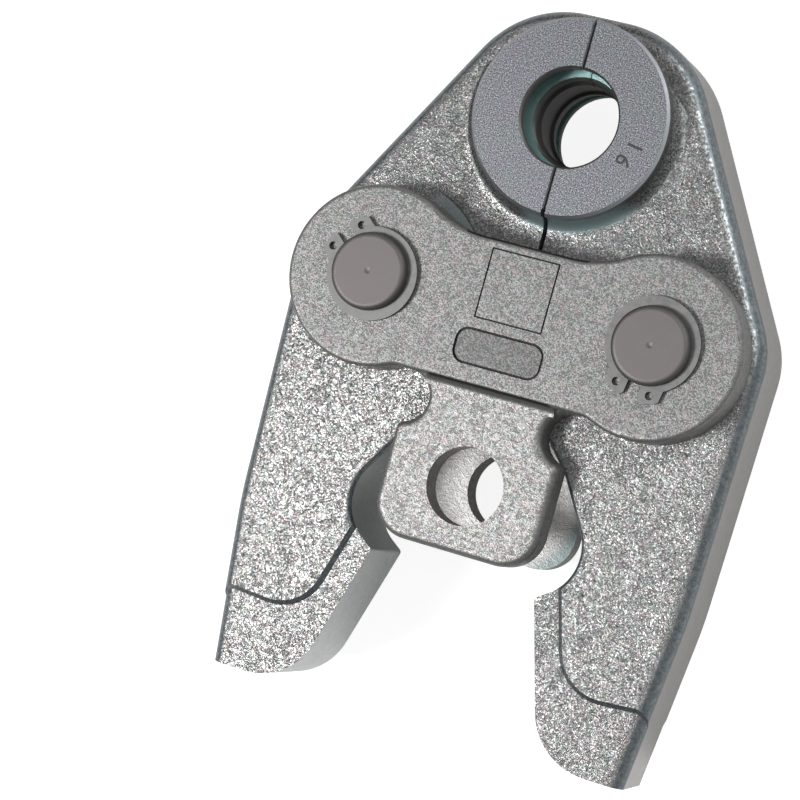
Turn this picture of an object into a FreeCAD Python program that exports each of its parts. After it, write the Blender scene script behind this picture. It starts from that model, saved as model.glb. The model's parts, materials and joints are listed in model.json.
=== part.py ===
import FreeCAD, Part
import math
import os
import Sketcher

Vector = FreeCAD.Vector

# Press fitting tool jaw: two forged levers with half dies, hinged between two T-shaped side plates.
# Origin: centre of the tool-pin hole at mid-thickness. +Y runs to the die, +X to the right lever,
# +Z out of the front side plate. Places in Y are counted from the tool hole unless a name says "drop",
# which counts down from the line of the two pivots.

SIZES = [
    # layout
    ("pivot_half_spacing", 26.5, "pivot axis to the middle plane"),
    ("pivot_height", 32.2, "tool hole to the line of the pivots"),
    ("die_rise", 35.5, "line of the pivots to the die axis"),
    # levers
    ("jaw_thickness", 20.4, "lever, over both faces"),
    ("split_gap", 0.2, "between the closed half dies"),
    ("head_rise", 55.1, "line of the pivots to the top of the head"),
    ("head_half_width", 15.6, "middle plane to the corner of the head's top"),
    ("head_radius", 20.0, "round of the head's corners"),
    ("shoulder_half_width", 44.65, "middle plane to the shoulder corner"),
    ("shoulder_rise", 4.3, "line of the pivots to the shoulder corner"),
    ("shoulder_radius", 16.0, "round of the shoulder"),
    ("arm_inset", 1.4, "arm's bend, in from the shoulder corner"),
    ("arm_bend_drop", 45.0, "down to the arm's slight bend"),
    ("arm_bend_radius", 90.0, "round of the bend"),
    ("tip_inset", 3.3, "tip's outer corner, in from the arm's bend"),
    ("tip_drop", 75.9, "down to the arm's tip"),
    ("tip_land", 6.9, "straight end of the tip"),
    ("run_in_half_width", 15.8, "middle plane to the corner of the run-in"),
    ("run_in_angle", 73.5, "slope of the roller run-in"),
    ("corner_radius", 0.8, "round of the corner of the run-in"),
    ("recess_half_width", 12.8, "middle plane to the centre of the roller recess"),
    ("recess_drop", 39.0, "down to the centre of the roller recess"),
    ("recess_radius", 9.1, "roller recess"),
    ("recess_exit_angle", 55.0, "where the recess runs out, below level"),
    ("flank_angle", 58.5, "slope of the flank above the recess"),
    ("knee_drop", 25.6, "down to the knee at the top of the flank"),
    ("nose_half_width", 7.5, "middle plane to the lever's nose"),
    ("nose_drop", 17.0, "down to the lever's nose"),
    ("heel_drop", 0.5, "down to where the levers part"),
    ("nose_radius", 2.0, "round of the nose"),
    ("relief_depth", 0.3, "relief of each split face below the die"),
    ("relief_rise", 18.6, "line of the pivots to the top of the relief"),
    ("forging_round", 3.0, "round of the lever's outer edges"),
    ("inner_round", 1.1, "round of the lever's inner edges"),
    ("tip_step", 1.0, "step down to the tip's faces"),
    ("step_drop", 62.4, "down to the step across the arm"),
    ("step_half_width", 20.0, "middle plane to the step beside the recess"),
    ("step_radius", 8.5, "round of the step's line"),
    ("step_slope", 40.0, "slope of the step, off upright"),
    ("step_tilt", 3.5, "rise of the step's line towards the outside"),
    # half dies
    ("boss_radius", 18.05, "die boss"),
    ("boss_thickness", 30.0, "die boss, over both faces"),
    ("boss_fillet", 3.2, "hollow between boss and lever"),
    ("boss_edge_chamfer", 0.5, "rim of the boss"),
    ("boss_hollow_end", 12.0, "where the hollow starts to run out, above level"),
    ("split_chamfer", 0.25, "edges of the split"),
    ("lip_radius", 8.9, "end lip of the die"),
    ("lip_length", 2.0, "end lip along the axis"),
    ("lip_chamfer", 0.35, "mouth of the die"),
    ("groove_radius", 11.4, "clearance groove of the die"),
    ("groove_length", 4.8, "clearance groove along the axis"),
    ("press_radius", 8.1, "pressing zone of the die"),
    ("press_chamfer", 0.4, "edge of the pressing zone"),
    ("bead_radius", 7.6, "crest of a pressing bead"),
    ("bead_offset", 4.5, "mid-thickness to a bead"),
    ("bead_crest", 1.0, "crest along the axis"),
    ("bead_flank", 0.7, "sloping side of a bead along the axis"),
    # side plates
    ("plate_clearance", 0.1, "between lever and side plate"),
    ("bar_thickness", 8.2, "bar of the side plate"),
    ("bar_end_radius", 16.4, "round end of the bar"),
    ("bar_end_inset", 0.5, "centre of the round end, in from the pivot"),
    ("bar_end_drop", 0.3, "centre of the round end, below the pivot"),
    ("upper_waist_step", 4.7, "upper waist below the round ends"),
    ("upper_waist_radius", 20.0, "hollow of the upper waist"),
    ("lower_waist_step", 1.9, "lower waist above the round ends"),
    ("lower_waist_radius", 5.0, "hollow of the lower waist"),
    ("bar_edge_round", 0.9, "edge of the bar"),
    ("tongue_thickness", 5.8, "tongue of the side plate"),
    ("tongue_half_width", 15.5, "tongue"),
    ("tongue_reach", 12.0, "tool hole to the end of the tongue"),
    ("tongue_corner_radius", 6.8, "lower corners of the tongue"),
    ("tongue_shoulder_radius", 1.6, "upper corners of the tongue"),
    ("tongue_edge_round", 1.4, "edge of the tongue"),
    ("neck_half_width", 11.0, "neck between the notches"),
    ("notch_radius", 4.7, "round notch beside the neck"),
    ("step_fillet", 1.6, "hollow between bar and tongue"),
    ("tool_hole_radius", 7.1, "tool-pin hole"),
    ("frame_side", 12.8, "square frame line on the bar"),
    ("frame_line", 0.3, "width of the frame line"),
    ("frame_depth", 0.3, "depth of the frame line"),
    ("frame_rise", 3.4, "line of the pivots to the centre of the frame"),
    ("frame_shift", 0.35, "frame line off the middle plane"),
    ("field_width", 16.6, "bare sunk field on the bar"),
    ("field_height", 6.6, "bare sunk field, along Y"),
    ("field_radius", 2.4, "corners of the sunk field"),
    ("field_depth", 0.2, "depth of the sunk field"),
    ("field_line", 0.45, "width of the groove round the field"),
    ("field_line_depth", 0.45, "depth of the groove round the field"),
    ("field_drop", 8.1, "line of the pivots to the centre of the field"),
    # pins and rings
    ("pin_radius", 7.0, "pivot pin"),
    ("pin_play", 0.05, "lever on its pin, radial"),
    ("pin_seat_play", 0.02, "pin in the side plates, radial"),
    ("pin_round", 1.0, "ends of the pin"),
    ("pin_overhang", 1.7, "pin past its ring"),
    ("dimple_radius", 0.6, "centre dimple of the pin"),
    ("dimple_depth", 0.15, "depth of the dimple"),
    ("ring_thickness", 1.0, "retaining ring"),
    ("ring_width", 2.1, "back of the ring, radial"),
    ("ring_taper", 0.7, "how much narrower the ring is at its ears"),
    ("ring_groove_depth", 0.3, "groove of the pin, radial"),
    ("ring_side_play", 0.1, "ring in its groove, along the axis"),
    ("ear_gap", 2.6, "between the ears of the ring"),
    ("ear_width", 3.8, "one ear"),
    ("ear_reach", 3.0, "ear past the pin"),
    ("ear_hole_reach", 1.0, "plier hole past the pin"),
    ("ear_hole_radius", 0.75, "plier hole of an ear"),
    # closing spring
    ("seat_drop", 12.5, "line of the pivots down to the spring's axis"),
    ("seat_radius", 4.0, "spring seat in a lever"),
    ("seat_depth", 8.0, "seat below the lever's face, on the axis"),
    ("coil_radius", 2.9, "spring, axis to wire centre"),
    ("wire_radius", 0.65, "spring wire"),
    ("coil_turns", 8.0, "turns of the spring"),
]

# Direction of the ears of each ring, in degrees from +X, as the rings happen to sit.
EAR_DIRECTIONS = {
    "front_left": 139.0,
    "front_right": -98.9,
    "rear_left": 42.0,
    "rear_right": -150.0,
}

document = FreeCAD.newDocument("press_jaw")
sheet = document.addObject("Spreadsheet::Sheet", "sizes")
for row, (alias, value, meaning) in enumerate(SIZES, start=1):
    sheet.set(f"A{row}", meaning)
    sheet.set(f"B{row}", str(value))
    sheet.setAlias(f"B{row}", alias)
document.recompute()


def size(alias):
    """Value of one cell of the sheet."""
    return float(sheet.get(alias))


def bind(target, path, formula):
    """Tie one property of an object to the sheet: every alias in the formula is written sizes.alias."""
    target.setExpression(path, formula)


def polar(centre_x, centre_y, radius, degrees):
    """Point at an angle on a circle."""
    angle = math.radians(degrees)
    return centre_x + radius * math.cos(angle), centre_y + radius * math.sin(angle)


# Sketch helpers

def origin_plane(body, role):
    """One of the body's own origin planes."""
    for feature in body.Origin.OriginFeatures:
        if feature.Role == role:
            return feature
    raise RuntimeError("no plane " + role)


def new_body(label):
    """An empty body with its own label."""
    body = document.addObject("PartDesign::Body", label)
    body.Label = label
    return body


def new_sketch(body, name, role="XY_Plane", height=None):
    """A sketch on an origin plane; height is a formula for its distance from that plane."""
    sketch = body.newObject("Sketcher::SketchObject", name)
    sketch.AttachmentSupport = [(origin_plane(body, role), "")]
    sketch.MapMode = "FlatFace"
    if height:
        bind(sketch, "AttachmentOffset.Base.z", height)
    return sketch


def add_arc(sketch, start, middle, end):
    """Arc through three points, kept counterclockwise; says which of its ends is the start."""
    turn = (middle[0] - start[0]) * (end[1] - start[1]) - (middle[1] - start[1]) * (end[0] - start[0])
    first, last = (start, end) if turn > 0 else (end, start)
    arc = Part.Arc(Vector(*first, 0), Vector(*middle, 0), Vector(*last, 0))
    index = sketch.addGeometry(arc, False)
    return index, (1, 2) if turn > 0 else (2, 1)


def corner_arc(before, corner, after, radius):
    """Start, middle and end of the tangent arc that rounds a corner."""
    to_before = Vector(before[0] - corner[0], before[1] - corner[1], 0).normalize()
    to_after = Vector(after[0] - corner[0], after[1] - corner[1], 0).normalize()
    half = to_before.getAngle(to_after) / 2.0
    reach = radius / math.tan(half)
    bisector = (to_before + to_after).normalize()
    point = Vector(corner[0], corner[1], 0)
    centre = point + bisector * (radius / math.sin(half))
    start = point + to_before * reach
    end = point + to_after * reach
    middle = centre - bisector * radius
    return (start.x, start.y), (middle.x, middle.y), (end.x, end.y)


def draw_profile(sketch, items):
    """Closed loop of straight runs and arcs.

    An item is a sharp corner (x, y), a rounded corner (x, y, radius) or an arc of a circle
    ("round", x, y, radius, first angle, last angle).
    """
    entries = []
    for item in items:
        if item[0] == "round":
            _, x, y, radius, first, last = item
            start = polar(x, y, radius, first)
            end = polar(x, y, radius, last)
            entries.append((start, end, polar(x, y, radius, (first + last) / 2.0), None))
        else:
            entries.append((item[:2], item[:2], None, item[2] if len(item) > 2 else None))
    count = len(entries)
    pieces = []
    for place, (start, end, middle, radius) in enumerate(entries):
        if radius:
            before = entries[place - 1][1]
            after = entries[(place + 1) % count][0]
            start, middle, end = corner_arc(before, start, after, radius)
        pieces.append((start, middle, end))
    chain = []
    for place, (start, middle, end) in enumerate(pieces):
        if middle:
            chain.append(add_arc(sketch, start, middle, end))
        following = pieces[(place + 1) % count][0]
        if math.hypot(following[0] - end[0], following[1] - end[1]) > 1e-6:
            line = Part.LineSegment(Vector(*end, 0), Vector(*following, 0))
            chain.append((sketch.addGeometry(line, False), (1, 2)))
    for place, (index, ends) in enumerate(chain):
        next_index, next_ends = chain[(place + 1) % len(chain)]
        sketch.addConstraint(Sketcher.Constraint("Coincident", index, ends[1], next_index, next_ends[0]))


def draw_circle(sketch, x_formula, y_formula, radius_formula):
    """Circle whose centre and radius are tied to the sheet."""
    centre_x = float(sketch.evalExpression(x_formula))
    centre_y = float(sketch.evalExpression(y_formula))
    radius = float(sketch.evalExpression(radius_formula))
    circle = Part.Circle(Vector(centre_x, centre_y, 0), Vector(0, 0, 1), radius)
    index = sketch.addGeometry(circle, False)
    for kind, formula, value in (("DistanceX", x_formula, centre_x), ("DistanceY", y_formula, centre_y)):
        number = sketch.addConstraint(Sketcher.Constraint(kind, -1, 1, index, 3, value))
        bind(sketch, f"Constraints[{number}]", formula)
    number = sketch.addConstraint(Sketcher.Constraint("Radius", index, radius))
    bind(sketch, f"Constraints[{number}]", radius_formula)


# Feature helpers

def add_pad(body, sketch, name, length, midplane=False, reverse=False):
    """Pad whose length is tied to the sheet."""
    pad = body.newObject("PartDesign::Pad", name)
    pad.Profile = sketch
    bind(pad, "Length", length)
    pad.Midplane = midplane
    pad.Reversed = reverse
    document.recompute()
    return pad


def add_cut(body, sketch, name, kind, settings, formulas):
    """Pocket or Groove; it has to take material away."""
    before = body.Shape.Volume
    cut = body.newObject("PartDesign::" + kind, name)
    cut.Profile = sketch
    for key, value in settings.items():
        setattr(cut, key, value)
    for path, formula in formulas.items():
        bind(cut, path, formula)
    document.recompute()
    if body.Shape.Volume > before - 1e-6:
        raise RuntimeError(name + " cuts nothing")
    return cut


def cut_through(body, sketch, name):
    """Pocket through the whole piece, both ways."""
    return add_cut(body, sketch, name, "Pocket", {"Type": "ThroughAll", "Midplane": True}, {})


def edges_where(shape, test):
    """Names of the edges whose middle and whole passes a test."""
    return [f"Edge{number}" for number, edge in enumerate(shape.Edges, start=1) if test(edge)]


def dress_edges(body, name, kind, test, path, formula):
    """Fillet or Chamfer on the edges that pass the test."""
    base = body.Tip
    dressing = body.newObject("PartDesign::" + kind, name)
    dressing.Base = (base, edges_where(base.Shape, test))
    bind(dressing, path, formula)
    document.recompute()
    if "Invalid" in dressing.State:
        raise RuntimeError(name + " fails")
    return dressing


def add_fillet(body, name, test, radius):
    """Rounds the edges that pass the test."""
    return dress_edges(body, name, "Fillet", test, "Radius", radius)


def middle_of(edge):
    """Point halfway along an edge."""
    return edge.valueAt((edge.FirstParameter + edge.LastParameter) / 2.0)


def lies_at(edge, height):
    """True for an edge that lies wholly at one height."""
    box = edge.BoundBox
    return abs(box.ZMin - height) < 1e-5 and abs(box.ZMax - height) < 1e-5


# Levers

def arm_half_width():
    """Middle plane to the arm's slight bend."""
    return size("shoulder_half_width") - size("arm_inset")


def tip_half_width():
    """Middle plane to the tip's outer corner."""
    return arm_half_width() - size("tip_inset")


def jaw_corners(side):
    """Outline of one lever; side is -1 for the left one and 1 for the right one."""
    pivot_y = size("pivot_height")
    gap = size("split_gap") / 2.0
    head_y = pivot_y + size("head_rise")
    recess_x = size("recess_half_width")
    recess_y = pivot_y - size("recess_drop")
    radius = size("recess_radius")
    # the flank and the exit of the recess are tangents of its circle
    first = 90.0 - size("flank_angle")
    last = -size("recess_exit_angle")
    flank_start = polar(recess_x, recess_y, radius, first)
    knee_y = pivot_y - size("knee_drop")
    knee_x = flank_start[0] - (knee_y - flank_start[1]) / math.tan(math.radians(size("flank_angle")))
    exit_point = polar(recess_x, recess_y, radius, last)
    exit_slope = math.tan(math.radians(90.0 - size("recess_exit_angle")))
    run_in_x = size("run_in_half_width")
    run_in_y = exit_point[1] - (exit_point[0] - run_in_x) * exit_slope
    tip_y = pivot_y - size("tip_drop")
    tip_x = run_in_x + (run_in_y - tip_y) / math.tan(math.radians(size("run_in_angle")))
    # the round of the tip's inner corner takes what the straight end leaves
    tip_round = tip_half_width() - tip_x - size("tip_land")
    tip_round *= math.tan(math.radians(180.0 - size("run_in_angle")) / 2.0)
    corners = [
        (gap, head_y),
        (size("head_half_width"), head_y, size("head_radius")),
        (size("shoulder_half_width"), pivot_y + size("shoulder_rise"), size("shoulder_radius")),
        (arm_half_width(), pivot_y - size("arm_bend_drop"), size("arm_bend_radius")),
        (tip_half_width(), tip_y),
        (tip_x, tip_y, tip_round),
        (run_in_x, run_in_y, size("corner_radius")),
        ("round", recess_x, recess_y, radius, last, first),
        (knee_x, knee_y, size("nose_radius")),
        (size("nose_half_width"), pivot_y - size("nose_drop"), size("nose_radius")),
        (gap, pivot_y - size("heel_drop")),
    ]
    return mirrored(corners, side)


def relief_corners(side):
    """What is cut off the split face below the die."""
    depth = size("split_gap") / 2.0 + size("relief_depth")
    top = size("pivot_height") + size("relief_rise")
    bottom = size("pivot_height") - size("nose_drop")
    return mirrored([(0.0, bottom), (depth, bottom), (depth, top), (0.0, top + depth)], side)


def mirrored(items, side):
    """The same outline for the other side of the middle plane."""
    if side > 0:
        return items
    flipped = []
    for item in items:
        if item[0] == "round":
            _, x, y, radius, first, last = item
            flipped.append(("round", -x, y, radius, 180.0 - first, 180.0 - last))
        else:
            flipped.append((-item[0],) + tuple(item[1:]))
    return flipped


def reversed_items(items):
    """The same run of outline drawn the other way."""
    backwards = []
    for item in reversed(items):
        if item[0] == "round":
            item = item[:4] + (item[5], item[4])
        backwards.append(item)
    return backwards


def boss_blank_corners(side):
    """Half disc that holds the boss and its hollow; the hollow runs out along a tangent of the boss."""
    gap = size("split_gap") / 2.0
    die_y = size("pivot_height") + size("die_rise")
    radius = size("boss_radius")
    reach = radius + size("boss_fillet")
    end = size("boss_hollow_end")
    touch = end + math.degrees(math.acos(radius / reach))
    bottom = -math.degrees(math.acos(gap / reach))
    top = math.degrees(math.acos(gap / radius))
    return mirrored([
        ("round", 0.0, die_y, reach, bottom, end),
        ("round", 0.0, die_y, radius, touch, top),
    ], side)


def hollow_loop(sign):
    """Section, in radius and height, of what is cut away round the boss on one face."""
    radius = size("boss_radius")
    hollow = size("boss_fillet")
    face = size("jaw_thickness") / 2.0
    top = size("boss_thickness") / 2.0
    chamfer = size("boss_edge_chamfer")
    spare = hollow
    return [
        (radius - chamfer, sign * top),
        (radius, sign * (top - chamfer)),
        ("round", radius + hollow, sign * (face + hollow), hollow, 180.0, 180.0 + sign * 90.0),
        (radius + hollow + spare, sign * face),
        (radius + hollow + spare, sign * (top + spare)),
        (radius - chamfer, sign * (top + spare)),
    ]


def die_loop():
    """Section of the die's opening, in radius and height, from its axis outwards."""
    top = size("boss_thickness") / 2.0
    lip = size("lip_radius")
    chamfer = size("lip_chamfer")
    lip_end = top - size("lip_length")
    press_end = lip_end - size("groove_length")
    press = size("press_radius")
    edge = size("press_chamfer")
    crest = size("bead_crest") / 2.0
    foot = crest + size("bead_flank")
    half = [
        (lip + chamfer, top),
        (lip, top - chamfer),
        (lip, lip_end),
        (size("groove_radius"), lip_end),
        (size("groove_radius"), press_end),
        (press + edge, press_end),
        (press, press_end - edge),
        (press, size("bead_offset") + foot),
        (size("bead_radius"), size("bead_offset") + crest),
        (size("bead_radius"), size("bead_offset") - crest),
        (press, size("bead_offset") - foot),
    ]
    lower = [(radius, -height) for radius, height in reversed(half)]
    return [(0.0, top)] + half + lower + [(0.0, -top)]


def split_edge_loop(side, sign):
    """Section, across the split, of what the broken edge of the boss loses."""
    gap = size("split_gap") / 2.0
    top = size("boss_thickness") / 2.0
    edge = size("split_chamfer")
    return [
        (0.0, sign * (top - edge - gap)),
        (side * (gap + 2.0 * edge), sign * (top + edge)),
        (0.0, sign * (top + edge)),
    ]


def revolve_about_die(body, name, loops):
    """Cut turned about the die axis."""
    sketch = new_sketch(body, name + "_section", "XZ_Plane", "-(sizes.pivot_height + sizes.die_rise)")
    for loop in loops:
        draw_profile(sketch, loop)
    add_cut(body, sketch, name, "Groove", {"ReferenceAxis": (sketch, ["V_Axis"]), "Angle": 360.0}, {})


def tip_step_corners(side):
    """Area of the lowered tip; its line crosses the arm and rises beside the recess."""
    pivot_y = size("pivot_height")
    outside = size("shoulder_half_width")
    step_y = pivot_y - size("step_drop")
    recess_bottom = pivot_y - size("recess_drop") - size("recess_radius") * 0.5
    step_x = size("step_half_width")
    lean = (step_y - recess_bottom) / math.tan(math.radians(size("run_in_angle")))
    below = pivot_y - size("tip_drop") - size("tip_land")
    inside = size("run_in_half_width") - size("tip_land")
    climb = (outside - step_x) * math.tan(math.radians(size("step_tilt")))
    return mirrored([
        (outside, step_y + climb),
        (step_x - lean, step_y, size("step_radius")),
        (step_x, recess_bottom),
        (inside, recess_bottom),
        (inside, below),
        (outside, below),
    ], side)


def make_jaw(label, side):
    """One forged lever with its half die."""
    body = new_body(label)
    outline = new_sketch(body, label + "_outline")
    draw_profile(outline, jaw_corners(side))
    add_pad(body, outline, label + "_forging", "sizes.jaw_thickness", midplane=True)
    face = size("jaw_thickness") / 2.0
    pivot_y = size("pivot_height")
    tip_y = pivot_y - size("tip_drop")
    split = size("split_gap") / 2.0
    outer_line = tip_half_width() - 1.0

    def inner_edge(edge):
        point = middle_of(edge)
        return (lies_at(edge, math.copysign(face, point.z)) and split + 1e-3 < abs(point.x) < outer_line
                and tip_y + 1e-3 < point.y < pivot_y)

    add_fillet(body, label + "_inner_round", inner_edge, "sizes.inner_round")
    # lowered tip on both faces
    for name, sign in (("front", 1), ("rear", -1)):
        sketch = new_sketch(body, f"{label}_{name}_step", height=f"{sign} * sizes.jaw_thickness / 2")
        draw_profile(sketch, tip_step_corners(side))
        add_cut(body, sketch, f"{label}_{name}_tip", "Pocket",
                {"Type": "Length", "Reversed": sign < 0},
                {"Length": "sizes.tip_step", "TaperAngle": "-sizes.step_slope"})

    # the outer edges, first beside the lowered tip and then from the arm to the head
    def beside(edge, height):
        point = middle_of(edge)
        along = edge.BoundBox.YLength > edge.BoundBox.XLength
        return lies_at(edge, math.copysign(height, point.z)) and abs(point.x) > outer_line and along

    def tip_edge(edge):
        return beside(edge, face - size("tip_step"))

    def outer_edge(edge):
        point = middle_of(edge)
        on_head = point.y > pivot_y and abs(point.x) > split + 1e-3
        return beside(edge, face) or on_head and lies_at(edge, math.copysign(face, point.z))

    add_fillet(body, label + "_tip_round", tip_edge, "sizes.forging_round")
    add_fillet(body, label + "_outer_round", outer_edge, "sizes.forging_round")
    # boss, trimmed to its round form, and the die
    blank = new_sketch(body, label + "_boss_blank")
    draw_profile(blank, boss_blank_corners(side))
    add_pad(body, blank, label + "_boss", "sizes.boss_thickness", midplane=True)
    revolve_about_die(body, label + "_boss_form", [hollow_loop(1), hollow_loop(-1)])
    revolve_about_die(body, label + "_die", [die_loop()])
    edges = new_sketch(body, label + "_split_section", "XZ_Plane")
    for sign in (1, -1):
        draw_profile(edges, split_edge_loop(side, sign))
    cut_through(body, edges, label + "_split_edges")
    relief = new_sketch(body, label + "_relief_outline")
    draw_profile(relief, relief_corners(side))
    cut_through(body, relief, label + "_relief")
    # pivot hole and spring seat
    hole = new_sketch(body, label + "_pivot_circle")
    draw_circle(
        hole,
        f"{side} * sizes.pivot_half_spacing",
        "sizes.pivot_height",
        "sizes.pin_radius + sizes.pin_play",
    )
    cut_through(body, hole, label + "_pivot_hole")
    seat = new_sketch(body, label + "_seat_circle", "YZ_Plane", f"{side} * {seat_floor()}")
    draw_circle(seat, "sizes.pivot_height - sizes.seat_drop", "0", "sizes.seat_radius")
    add_cut(body, seat, label + "_seat", "Pocket", {"Type": "Length", "Reversed": side < 0},
            {"Length": str(seat_floor())})
    return body


def seat_floor():
    """Middle plane to the floor of a spring seat, counted from the face between heel and nose."""
    heel_x = size("split_gap") / 2.0 + size("relief_depth")
    share = (size("seat_drop") - size("heel_drop")) / (size("nose_drop") - size("heel_drop"))
    return heel_x + share * (size("nose_half_width") - heel_x) + size("seat_depth")


# Side plates

def bar_end_centre():
    """Centre of the right round end of the bar."""
    return size("pivot_half_spacing") - size("bar_end_inset"), size("pivot_height") - size("bar_end_drop")


def waist_line():
    """Tool hole up to the bar's lower waist."""
    return bar_end_centre()[1] - size("bar_end_radius") + size("lower_waist_step")


def waist_arcs(step, hollow, sign):
    """Centre of the hollow between an end of the bar and its waist, and where it touches the end."""
    radius = size("bar_end_radius")
    down = radius - step + hollow
    across = math.sqrt((radius + hollow) ** 2 - down ** 2)
    contact = math.degrees(math.atan2(sign * down, -across))
    end_x, end_y = bar_end_centre()
    return end_x - across, end_y + sign * down, contact


def bar_corners():
    """Bone-shaped bar round the two pivots."""
    end_x, end_y = bar_end_centre()
    radius = size("bar_end_radius")
    upper = size("upper_waist_radius")
    lower = size("lower_waist_radius")
    upper_x, upper_y, upper_contact = waist_arcs(size("upper_waist_step"), upper, 1)
    lower_x, lower_y, lower_contact = waist_arcs(size("lower_waist_step"), lower, -1)
    right = [
        ("round", upper_x, upper_y, upper, -90.0, upper_contact - 180.0),
        ("round", end_x, end_y, radius, upper_contact, lower_contact),
        ("round", lower_x, lower_y, lower, lower_contact + 180.0, 90.0),
    ]
    return right + reversed_items(mirrored(right, -1))


def tongue_corners():
    """Tongue with its neck and the round notches beside it."""
    waist_y = waist_line()
    notch = size("notch_radius")
    notch_x = size("neck_half_width") + notch
    notch_y = waist_y - notch
    half_width = size("tongue_half_width")
    # the shoulder's arc touches the notch from outside and the tongue's side from inside
    shoulder = size("tongue_shoulder_radius")
    across = notch_x - (half_width - shoulder)
    down = math.sqrt((notch + shoulder) ** 2 - across ** 2)
    contact = math.degrees(math.atan2(down, across))
    root_x = notch_x + 1.0
    right = [
        (root_x, waist_y + 4.0),
        (root_x, waist_y),
        ("round", notch_x, notch_y, notch, 90.0, 180.0 + contact),
        ("round", half_width - shoulder, notch_y - down, shoulder, contact, 0.0),
        (half_width, -size("tongue_reach"), size("tongue_corner_radius")),
    ]
    return right + reversed_items(mirrored(right, -1))


def hollow_corners(waist_y, face_z, sign):
    """Section of the hollow between the bar's wall and the tongue's face."""
    radius = size("step_fillet")
    inset = radius * 0.1
    root = size("tongue_edge_round")
    return [
        (waist_y + inset, face_z - sign * root),
        (waist_y + inset, face_z + sign * radius),
        (waist_y, face_z + sign * radius),
        ("round", waist_y - radius, face_z + sign * radius, radius, 0.0, -sign * 90.0),
        (waist_y - radius, face_z - sign * root),
    ]


def hollow_half_width():
    """Middle plane to where the notch leaves just the width of the hollow."""
    notch = size("notch_radius")
    reach = math.sqrt(notch ** 2 - (notch - size("step_fillet")) ** 2)
    return size("neck_half_width") + notch - reach


def make_plate(label, sign):
    """One side plate; sign is 1 in front of the levers and -1 behind them."""
    body = new_body(label)
    inner = f"{sign} * (sizes.jaw_thickness / 2 + sizes.plate_clearance)"
    inner_z = sign * (size("jaw_thickness") / 2.0 + size("plate_clearance"))
    tongue_z = inner_z + sign * size("tongue_thickness")
    bar_z = inner_z + sign * size("bar_thickness")
    waist_y = waist_line()
    tongue = new_sketch(body, label + "_tongue_outline", height=inner)
    draw_profile(tongue, tongue_corners())
    add_pad(body, tongue, label + "_tongue", "sizes.tongue_thickness", reverse=sign < 0)
    add_fillet(body, label + "_tongue_round",
               lambda edge: lies_at(edge, tongue_z) and middle_of(edge).y < waist_y - 1e-3,
               "sizes.tongue_edge_round")
    bar = new_sketch(body, label + "_bar_outline", height=inner)
    draw_profile(bar, bar_corners())
    add_pad(body, bar, label + "_bar", "sizes.bar_thickness", reverse=sign < 0)
    add_fillet(body, label + "_bar_round", lambda edge: lies_at(edge, bar_z), "sizes.bar_edge_round")
    hollow = new_sketch(body, label + "_hollow_section", "YZ_Plane")
    draw_profile(hollow, hollow_corners(waist_y, tongue_z, sign))
    add_pad(body, hollow, label + "_hollow", str(2.0 * hollow_half_width()), midplane=True)
    # tool hole and pin seats
    holes = new_sketch(body, label + "_circles")
    draw_circle(holes, "0", "0", "sizes.tool_hole_radius")
    for side in (-1, 1):
        draw_circle(holes, f"{side} * sizes.pivot_half_spacing", "sizes.pivot_height",
                    "sizes.pin_radius + sizes.pin_seat_play")
    cut_through(body, holes, label + "_holes")
    return body


def mark_plate(body, sign):
    """Square frame line and bare sunk field on the outer face of a bar."""
    outer = f"{sign} * (sizes.jaw_thickness / 2 + sizes.plate_clearance + sizes.bar_thickness)"
    pivot_y = size("pivot_height")
    frame = new_sketch(body, body.Label + "_frame_line", height=outer)
    middle_x = size("frame_shift")
    middle_y = pivot_y + size("frame_rise")
    for half in (size("frame_side") / 2.0, size("frame_side") / 2.0 - size("frame_line")):
        draw_profile(frame, [
            (middle_x - half, middle_y - half),
            (middle_x + half, middle_y - half),
            (middle_x + half, middle_y + half),
            (middle_x - half, middle_y + half),
        ])
    add_cut(body, frame, body.Label + "_frame", "Pocket", {"Type": "Length", "Reversed": sign < 0},
            {"Length": "sizes.frame_depth"})
    # the field is sunk a little and its rim is a deeper groove
    line = size("field_line")
    groove = [field_corners(0.0), field_corners(line)]
    for name, loops, depth in (("field_groove", groove, "sizes.field_line_depth"),
                               ("field", [field_corners(line / 2.0)], "sizes.field_depth")):
        field = new_sketch(body, f"{body.Label}_{name}_outline", height=outer)
        for loop in loops:
            draw_profile(field, loop)
        add_cut(body, field, f"{body.Label}_{name}", "Pocket", {"Type": "Length", "Reversed": sign < 0},
                {"Length": depth})


def field_corners(inset):
    """Outline of the sunk field, drawn in by an inset."""
    half_x = size("field_width") / 2.0 - inset
    half_y = size("field_height") / 2.0 - inset
    middle = size("pivot_height") - size("field_drop")
    radius = size("field_radius") - inset
    return [
        (-half_x, middle - half_y, radius),
        (half_x, middle - half_y, radius),
        (half_x, middle + half_y, radius),
        (-half_x, middle + half_y, radius),
    ]


# Pins and retaining rings

def pin_loop():
    """Half section of a pivot pin, from its axis outwards."""
    bar_face = size("jaw_thickness") / 2.0 + size("plate_clearance") + size("bar_thickness")
    groove_end = bar_face + size("ring_thickness") + size("ring_side_play")
    end = groove_end + size("pin_overhang")
    radius = size("pin_radius")
    rim = size("pin_round")
    neck = radius - size("ring_groove_depth")
    half = [
        (0.0, end - size("dimple_depth")),
        (size("dimple_radius"), end),
        ("round", radius - rim, end - rim, rim, 90.0, 0.0),
        (radius, groove_end),
        (neck, groove_end),
        (neck, bar_face),
        (radius, bar_face),
    ]
    lower = [
        (radius, -bar_face),
        (neck, -bar_face),
        (neck, -groove_end),
        (radius, -groove_end),
        ("round", radius - rim, rim - end, rim, 0.0, -90.0),
        (size("dimple_radius"), -end),
        (0.0, size("dimple_depth") - end),
    ]
    return half + lower


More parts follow.
